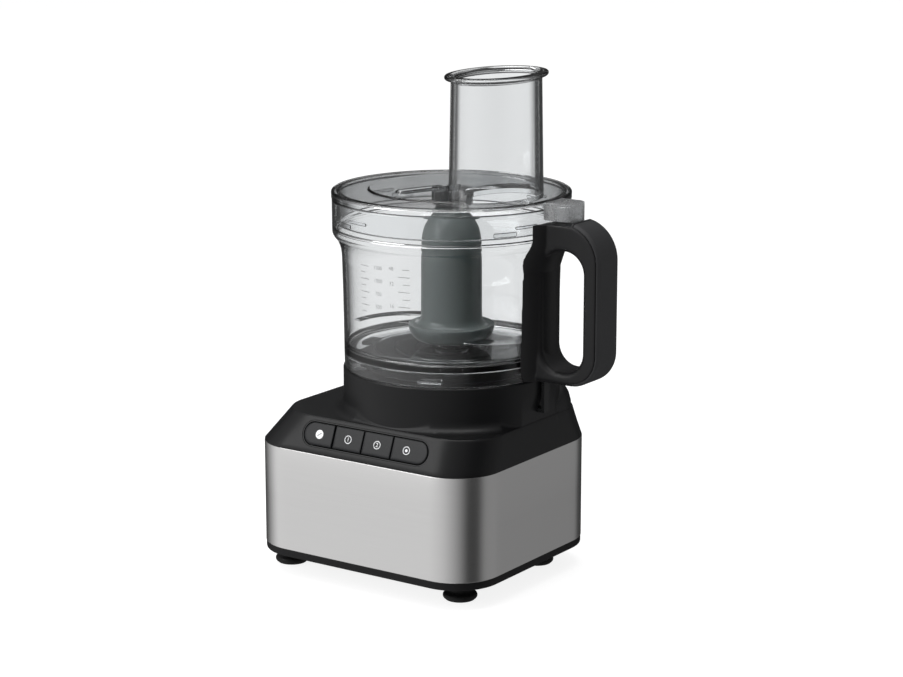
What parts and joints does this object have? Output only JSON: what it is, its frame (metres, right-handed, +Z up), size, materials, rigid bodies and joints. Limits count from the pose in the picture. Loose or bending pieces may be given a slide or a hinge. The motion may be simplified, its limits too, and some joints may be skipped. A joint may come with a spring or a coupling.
{
  "type": "food processor",
  "caption": "Bench-top food processor: motor base with push keys, twist-off clear bowl with grip, S blade, and twist-off clear lid with a wide feed tube and safety interlock.",
  "frame": {"origin": "centre of the machine's footprint on the surface it stands on", "axes": "+Z up, -Y towards the user and the control keys, +X towards the bowl grip"},
  "size_m": [0.2696, 0.1893, 0.395],
  "materials": {
    "black_housing": "satin black moulding",
    "black_tray": "fine matt black",
    "steel_sheet": "brushed, vertical grain",
    "rubber": "matt",
    "panel_plastic": "dark, slightly glossy",
    "key_plastic": "satin, printed symbols",
    "board": "green laminate",
    "switch_plastic": "moulded",
    "lamination": "stacked sheet",
    "copper_wire": "enamelled copper",
    "cast_metal": "die cast",
    "bearing_metal": "sintered bronze",
    "carbon": "pressed carbon",
    "fan_plastic": "natural nylon",
    "ground_steel": "ground",
    "pulley_plastic": "glass filled nylon",
    "screw_steel": "zinc plated",
    "clear_plastic": "clear, slightly grey",
    "tab_plastic": "clear, frosted inside",
    "hub_plastic": "grey green",
    "blade_steel": "polished edge",
    "grip_plastic": "satin black",
    "grip_cover": "soft touch dark grey",
    "rod_plastic": "acetal",
    "spring_steel": "drawn wire",
    "lid_bush_plastic": "dark"
  },
  "bodies": {
    "base": {"base_tray": "black_tray", "steel_wrap": "steel_sheet", "cord_gland": "rubber", "base_screws": "screw_steel", "top_housing": "black_housing", "bowl_collar": "black_housing", "spindle_seal": "rubber", "control_panel": "panel_plastic", "circuit_board": "board", "tact_switches": "switch_plastic", "motor_stator": "lamination", "field_winding_back": "copper_wire", "field_winding_front": "copper_wire", "motor_bracket_lower": "cast_metal", "motor_bracket_upper": "cast_metal", "motor_bearing_lower": "bearing_metal", "motor_bearing_upper": "bearing_metal", "motor_mounts": "rubber", "brush_holders": "switch_plastic", "carbon_brushes": "carbon", "drive_belt": "rubber", "spindle_bush_lower": "bearing_metal", "spindle_bush_upper": "bearing_metal", "spindle_bracket": "cast_metal", "switch_bracket": "lamination", "safety_switch": "switch_plastic", "plunger_spring": "spring_steel", "foot_front_left": "rubber", "foot_back_left": "rubber", "foot_front_right": "rubber", "foot_back_right": "rubber"},
    "motor_rotor": {"motor_shaft": "ground_steel", "armature_core": "lamination", "commutator": "copper_wire", "cooling_fan": "fan_plastic", "motor_pinion": "pulley_plastic"},
    "spindle": {"spindle_shaft": "ground_steel", "large_pulley": "pulley_plastic", "drive_coupling": "pulley_plastic"},
    "switch_plunger": {"switch_plunger": "rod_plastic"},
    "bowl_bush": {"bowl_bush": "rod_plastic"},
    "bowl": {"bowl_floor": "clear_plastic", "bowl_wall": "clear_plastic", "bowl_band": "clear_plastic", "handle_body": "grip_plastic", "handle_cover": "grip_cover", "rod_spring": "spring_steel"},
    "interlock_rod": {"interlock_rod": "rod_plastic"},
    "blade": {"drive_shaft": "ground_steel", "blade_hub": "hub_plastic", "blade_upper": "blade_steel", "blade_lower": "blade_steel"},
    "lid_bush": {"lid_bush": "lid_bush_plastic"},
    "lid": {"lid": "clear_plastic", "lid_tab": "tab_plastic"},
    "key_off": {"key_off": "key_plastic"},
    "key_one": {"key_one": "key_plastic"},
    "key_two": {"key_two": "key_plastic"},
    "key_pulse": {"key_pulse": "key_plastic"}
  },
  "joints": [
    {"name": "motor_spin", "type": "hinge", "parent": "base", "child": "motor_rotor", "pos_m": [-0.0785, 0.00245, 0.075], "axis": [0, 0, 1], "continuous": true},
    {"name": "spindle_spin", "type": "hinge", "parent": "base", "child": "spindle", "pos_m": [-0.0065, 0.00245, 0.1], "axis": [0, 0, 1], "continuous": true},
    {"name": "bowl_lift", "type": "slide", "parent": "base", "child": "bowl_bush", "axis": [0, 0, 1], "range_m": [0, 0.2]},
    {"name": "bowl_turn", "type": "hinge", "parent": "bowl_bush", "child": "bowl", "pos_m": [-0.0065, 0.00245, 0.225], "axis": [0, 0, 1], "range_deg": [0, 25]},
    {"name": "blade_spin", "type": "hinge", "parent": "bowl_bush", "child": "blade", "pos_m": [-0.0065, 0.00245, 0.225], "axis": [0, 0, 1], "continuous": true},
    {"name": "lid_lift", "type": "slide", "parent": "bowl", "child": "lid_bush", "axis": [0, 0, 1], "range_m": [0, 0.15]},
    {"name": "lid_turn", "type": "hinge", "parent": "lid_bush", "child": "lid", "pos_m": [-0.0065, 0.00245, 0.298], "axis": [0, 0, 1], "range_deg": [0, 22]},
    {"name": "interlock_rod_slide", "type": "slide", "parent": "bowl", "child": "interlock_rod", "axis": [0, 0, 1], "range_m": [0, 0.004], "deforming": ["rod_spring"]},
    {"name": "switch_plunger_slide", "type": "slide", "parent": "base", "child": "switch_plunger", "axis": [0, 0, 1], "range_m": [0, 0.004], "deforming": ["plunger_spring"]},
    {"name": "key_off_press", "type": "slide", "parent": "base", "child": "key_off", "axis": [0, 0.9292, -0.3696], "range_m": [0, 0.0015], "stiffness_N_per_m": 500},
    {"name": "key_one_press", "type": "slide", "parent": "base", "child": "key_one", "axis": [0, 0.9292, -0.3696], "range_m": [0, 0.0015], "stiffness_N_per_m": 500},
    {"name": "key_two_press", "type": "slide", "parent": "base", "child": "key_two", "axis": [0, 0.9292, -0.3696], "range_m": [0, 0.0015], "stiffness_N_per_m": 500},
    {"name": "key_pulse_press", "type": "slide", "parent": "base", "child": "key_pulse", "axis": [0, 0.9292, -0.3696], "range_m": [0, 0.0015], "stiffness_N_per_m": 500}
  ],
  "couplings": [
    {"joint": "spindle_spin", "follows": "motor_spin", "ratio": 0.2},
    {"joint": "blade_spin", "follows": "motor_spin", "ratio": 0.2},
    {"joint": "interlock_rod_slide", "follows": "lid_turn", "m_per_rad": 0.0104},
    {"joint": "switch_plunger_slide", "follows": "lid_turn", "m_per_rad": 0.0104}
  ]
}
